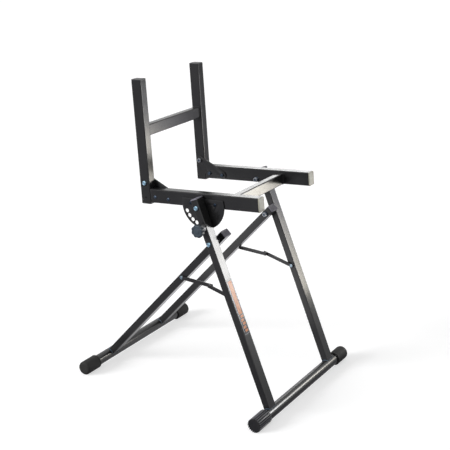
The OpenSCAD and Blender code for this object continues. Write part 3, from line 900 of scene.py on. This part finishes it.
# points around a rounded rectangle, evenly spaced
def roundedPath(width, depth):
    corner = stand["tubeRound"]
    path = []
    for number, (sx, sy) in enumerate([(1, 1), (-1, 1), (-1, -1), (1, -1)]):
        centre = Vector((sx * (width / 2 - corner), sy * (depth / 2 - corner)))
        for k in range(5):
            angle = math.radians(90 * number + 22.5 * k)
            path.append(centre + corner * Vector((math.cos(angle), math.sin(angle))))
    lengths = [(b - a).length for a, b in zip(path, path[1:] + path[:1])]
    total = sum(lengths)
    count = 4 * max(4, round(total / weld["spacing"] / 4))
    out, k, gone = [], 0, 0.0
    for n in range(count):
        want = total * n / count
        while gone + lengths[k] < want:
            gone += lengths[k]
            k += 1
        a, b = path[k], path[(k + 1) % len(path)]
        out.append(a.lerp(b, (want - gone) / lengths[k]))
    return out


# around the leg's foot, on the round bar
def legWeld(bm, leg, bar, x, side):
    down = (leg.inverted() @ bar).z
    path = []
    for p in roundedPath(stand["legWidth"], stand["legDepth"]):
        rise = math.sqrt(max(0, stand["barRadius"] ** 2 - p.y ** 2))
        path.append(Vector((x + p.x, p.y, down + rise)))
    turn = onSide(side) @ leg
    bead(bm, [turn @ p for p in path], weld["radius"])


for name, leg, bar, x in (("front", frontLeg, frontBar, legX), ("rear", rearLeg, rearBar, rearX)):
    bm = bmesh.new()
    for side in bothSides:
        legWeld(bm, leg, bar, x, side)
    addPiece(name + "_leg_welds", bm, name + "_frame", "black_paint", look="weld paint")

crossbar = {"tall": 30 * mm, "wide": 20 * mm, "at": 86 * mm, "backAt": 190 * mm}


# around a crossbar's end, where it meets the tube at x
def barWeld(bm, place, x, side):
    path = [Vector((x - weld["sunk"], p.y, p.x))
            for p in roundedPath(crossbar["tall"], crossbar["wide"])]
    turn = onSide(side) @ place
    bead(bm, [turn @ p for p in path], weld["crossbarRadius"])


armBar = armPlace @ moved(0, crossbar["wide"] / 2 - crossbar["at"],
                          crossbar["tall"] / 2 - stand["pivotUp"])
backBar = uprightPlace @ moved(0, 0, crossbar["backAt"] - hingeUp)
for name, body, place, x in (("crossbar_welds", "cradle", armBar, stand["armIn"]),
                             ("backrest_welds", "backrest", backBar, stand["uprightIn"])):
    bm = bmesh.new()
    for side in bothSides:
        barWeld(bm, place, x, side)
    addPiece(name, bm, body, "black_paint")

bm = bmesh.new()
turn = acrossX(lockPlace, stand["frontOut"] + 0.2 * mm, -1)
ringPath = [Vector((lock["bushing"] * math.cos(a), lock["bushing"] * math.sin(a), 0))
            for a in (math.tau * k / 56 for k in range(56))]
bead(bm, [turn @ p for p in ringPath], weld["bushingRadius"])
addPiece("bushing_weld", bm, "front_frame", "black_paint")
print("welds made")

# plain label on the left front leg; its heights are measured along the leg, from the fold
label = {
    "top": -101 * mm,
    "bottom": -254 * mm,
    "wide": 23 * mm,
    "thick": 0.12 * mm,
    "round": 2 * mm,
    "ink": 0.06 * mm,
    "band": 15 * mm,
    "bandTop": -107 * mm,
    "bandEnd": -198 * mm,
    "bandLeft": 1.5 * mm,
    "blocks": 5,
    "block": 7 * mm,
    "blockGap": 2.6 * mm,
    "blockStep": 3 * mm,
    "footLine": (2 * mm, 3.2 * mm),  # above the label's lower edge
    "footLineIn": 3 * mm,
    "sideLine": (2.6 * mm, 1.6 * mm),  # in from its right edge
    "sideLineEnds": (9 * mm, 6 * mm),  # short of its lower and upper edge
}


def labelPlate(bm, x0, x1, z0, z1, low, high, corner=0):
    made = bmesh.ops.create_cube(bm, size=1)["verts"]
    bmesh.ops.scale(bm, vec=(x1 - x0, high - low, z1 - z0), verts=made)
    shift = moved((x0 + x1) / 2, -stand["legDepth"] / 2 - (low + high) / 2, (z0 + z1) / 2)
    bmesh.ops.transform(bm, matrix=mirrorX @ frontLeg @ shift, verts=made)
    if corner:
        across = [e for e in linkedEdges(made) if e.calc_length() < (high - low) * 1.01]
        bmesh.ops.bevel(bm, geom=across, offset=corner, segments=4, **plainBevel)


left, right = legX - label["wide"] / 2, legX + label["wide"] / 2
bottom, top, filmTop = label["bottom"], label["top"], label["thick"]
inkTop = filmTop + label["ink"]
bm = bmesh.new()
labelPlate(bm, left, right, bottom, top, 0.01 * mm, filmTop, label["round"])
addPiece("label_film", bm, "front_frame", "black_plastic", look="label film")

bandLeft = legX - label["band"] / 2 - label["bandLeft"]
bandRight = legX + label["band"] / 2 - label["bandLeft"]
bm = bmesh.new()
labelPlate(bm, bandLeft, bandRight, label["bandEnd"], label["bandTop"], filmTop, inkTop, 1.5 * mm)
for k in range(label["blocks"]):  # every second block is set off to one side
    blockTop = label["bandEnd"] - label["blockGap"] - k * (label["block"] + label["blockGap"])
    inset = label["blockStep"] * (k % 2)
    labelPlate(bm, bandLeft + inset, bandRight - label["blockStep"] + inset,
               blockTop - label["block"], blockTop, filmTop, inkTop, 1 * mm)
addPiece("label_band", bm, "front_frame", "pale_plastic", look="label orange")

bm = bmesh.new()
lineIn, (lineLow, lineHigh) = label["footLineIn"], label["footLine"]
labelPlate(bm, left + lineIn, right - lineIn, bottom + lineLow, bottom + lineHigh, filmTop, inkTop)
(lineLeft, lineRight), (lowEnd, highEnd) = label["sideLine"], label["sideLineEnds"]
labelPlate(bm, right - lineLeft, right - lineRight, bottom + lowEnd, top - highEnd, filmTop, inkTop)
addPiece("label_lines", bm, "front_frame", "pale_plastic", look="label silver")
print("label made")

# floor and world
room = {
    "floorSeen": (0.55, 0.55, 0.552),
    "floorLight": (0.36, 0.36, 0.36),
    "floorMirrored": (0.158, 0.155, 0.19),
    "floorShown": 0.60,
    "poolPlace": (0.20, 0.12, 0),
    "poolSize": (0.90, 0.155, 1),
    "poolEdge": (0.5, 1.05),
    "poolMirrored": 1.25,
    "farMirrored": 0.25,
    "shadePlace": (-0.44, -0.13, 0),
    "shadeSize": (0.36, 0.32, 1),
    "shadeEdge": (0.3, 1.3),
    "shadeMirrored": 0.0,
    "worldLight": 0.42,
}


def makeFloor():
    bm = bmesh.new()
    bmesh.ops.create_grid(bm, x_segments=1, y_segments=1, size=12)
    mesh = bpy.data.meshes.new("floor")
    bm.to_mesh(mesh)
    bm.free()
    floor = bpy.data.objects.new("floor", mesh)
    bpy.context.scene.collection.objects.link(floor)
    m = NodeMaker("pale floor")

    def awayFrom(place, size):
        spot = m.add("ShaderNodeMapping", vector_type="TEXTURE")
        spot.inputs["Location"].default_value = place
        spot.inputs["Scale"].default_value = size
        m.link(m.coord, spot.inputs["Vector"])
        away = m.add("ShaderNodeVectorMath", operation="LENGTH")
        m.link(spot.outputs["Vector"], away.inputs[0])
        return away.outputs["Value"]

    path = m.add("ShaderNodeLightPath")
    camera, glossy = path.outputs["Is Camera Ray"], path.outputs["Is Glossy Ray"]
    # what the metal mirrors: a pool of light, and shade beside the near front leg
    pool = m.spread(awayFrom(room["poolPlace"], room["poolSize"]),
                    room["poolMirrored"], room["farMirrored"], *room["poolEdge"])
    shade = m.spread(awayFrom(room["shadePlace"], room["shadeSize"]),
                     room["shadeMirrored"], 1, *room["shadeEdge"])
    level = m.mix("FLOAT", camera, m.combine("MULTIPLY", pool, shade), room["floorShown"])
    mirrored = m.combine("MAXIMUM", glossy, path.outputs["Is Transmission Ray"])
    glow = m.add("ShaderNodeEmission")
    m.link(m.combine("MULTIPLY", level, m.combine("MAXIMUM", mirrored, camera)),
           glow.inputs["Strength"])
    # the floor's own colour, which takes the shadows
    bounced = m.mix("RGBA", glossy, (*room["floorLight"], 1), (*room["floorMirrored"], 1))
    matt = m.add("ShaderNodeBsdfDiffuse")
    m.link(m.mix("RGBA", camera, bounced, (*room["floorSeen"], 1)), matt.inputs["Color"])
    both = m.add("ShaderNodeAddShader")
    m.link(matt.outputs[0], both.inputs[0])
    m.link(glow.outputs[0], both.inputs[1])
    out = m.add("ShaderNodeOutputMaterial")
    m.link(both.outputs[0], out.inputs["Surface"])
    mesh.materials.append(m.material)


# white to the camera and in mirrored and clear surfaces, dimmer as light on the stand
def makeWorld():
    world = bpy.data.worlds.new("studio")
    bpy.context.scene.world = world
    world.use_nodes = True
    tree = world.node_tree
    tree.nodes.clear()
    path = tree.nodes.new("ShaderNodeLightPath")
    seen = path.outputs["Is Camera Ray"]
    for other in ("Is Glossy Ray", "Is Transmission Ray"):
        both = tree.nodes.new("ShaderNodeMath")
        both.operation = "MAXIMUM"
        tree.links.new(seen, both.inputs[0])
        tree.links.new(path.outputs[other], both.inputs[1])
        seen = both.outputs[0]
    level = tree.nodes.new("ShaderNodeMapRange")
    level.inputs["To Min"].default_value = room["worldLight"]
    level.inputs["To Max"].default_value = 1.0
    tree.links.new(seen, level.inputs["Value"])
    sky = tree.nodes.new("ShaderNodeBackground")
    sky.inputs["Color"].default_value = (1, 1, 1, 1)
    tree.links.new(level.outputs[0], sky.inputs["Strength"])
    out = tree.nodes.new("ShaderNodeOutputWorld")
    tree.links.new(sky.outputs[0], out.inputs["Surface"])


# the key makes the floor's shadows; the sheen and the panels only show mirrored in the metal
white = (1, 1, 1)
suns = {
    "key": {"towards": (-0.757, 0.558, 0.290), "strength": 4.7, "angle": 30,
            "unseenBy": "glossy"},
    "sheen": {"towards": (-0.640, 0.06, 0.766), "strength": 1.8, "angle": 50,
              "unseenBy": "diffuse"},
}
panels = {
    "leg panel": {
        "place": (0.573, -0.736, 0.573), "faces": (-0.8, 0.6, 0), "roll": -8,
        "size": (0.25, 0.45), "power": 5.1, "colour": white},
    "warm edge": {
        "place": (0.681, -0.592, 0.410), "faces": (-0.8, 0.6, 0), "roll": -8,
        "size": (0.11, 0.30), "power": 1.45, "colour": (1, 0.945, 0.83)},
    "far shoulder": {
        "place": (0.762, -0.484, 0.53), "faces": (-0.8, 0.6, 0), "roll": 0,
        "size": (0.14, 0.30), "power": 0.20, "colour": (0.88, 0.88, 1)},
    "inner side": {
        "place": (-0.105, 0.036, 0.212), "faces": (1, 0, 0), "roll": -18,
        "size": (0.52, 0.34), "power": 0.44, "colour": white},
    "arm tops": {
        "place": (1.681, 0.868, 0.986), "faces": (-0.798, -0.559, -0.226), "roll": 0,
        "size": (0.44, 0.18), "power": 1.15, "colour": white},
}


def addLamp(name, data, place):
    light = bpy.data.objects.new(name, data)
    bpy.context.scene.collection.objects.link(light)
    light.matrix_world = place
    return light


def facing(direction, axis):
    return Vector(direction).to_track_quat(axis, "Y").to_matrix().to_4x4()


def makeLamps():
    for name, sun in suns.items():
        data = bpy.data.lights.new(name, "SUN")
        data.energy = sun["strength"]
        data.angle = math.radians(sun["angle"])
        light = addLamp(name, data, facing(sun["towards"], "Z"))
        light.visible_glossy = sun["unseenBy"] != "glossy"
        light.visible_diffuse = sun["unseenBy"] != "diffuse"
    for name, panel in panels.items():
        data = bpy.data.lights.new(name, "AREA")
        data.shape = "RECTANGLE"
        data.size, data.size_y = panel["size"]
        data.energy = panel["power"]
        data.color = panel["colour"]
        turn = facing(panel["faces"], "-Z") @ turned(panel["roll"], "Z")
        light = addLamp(name, data, Matrix.Translation(panel["place"]) @ turn)
        light.visible_camera = False
        light.visible_diffuse = False


makeFloor()
makeWorld()
makeLamps()
print("room and lamps made")
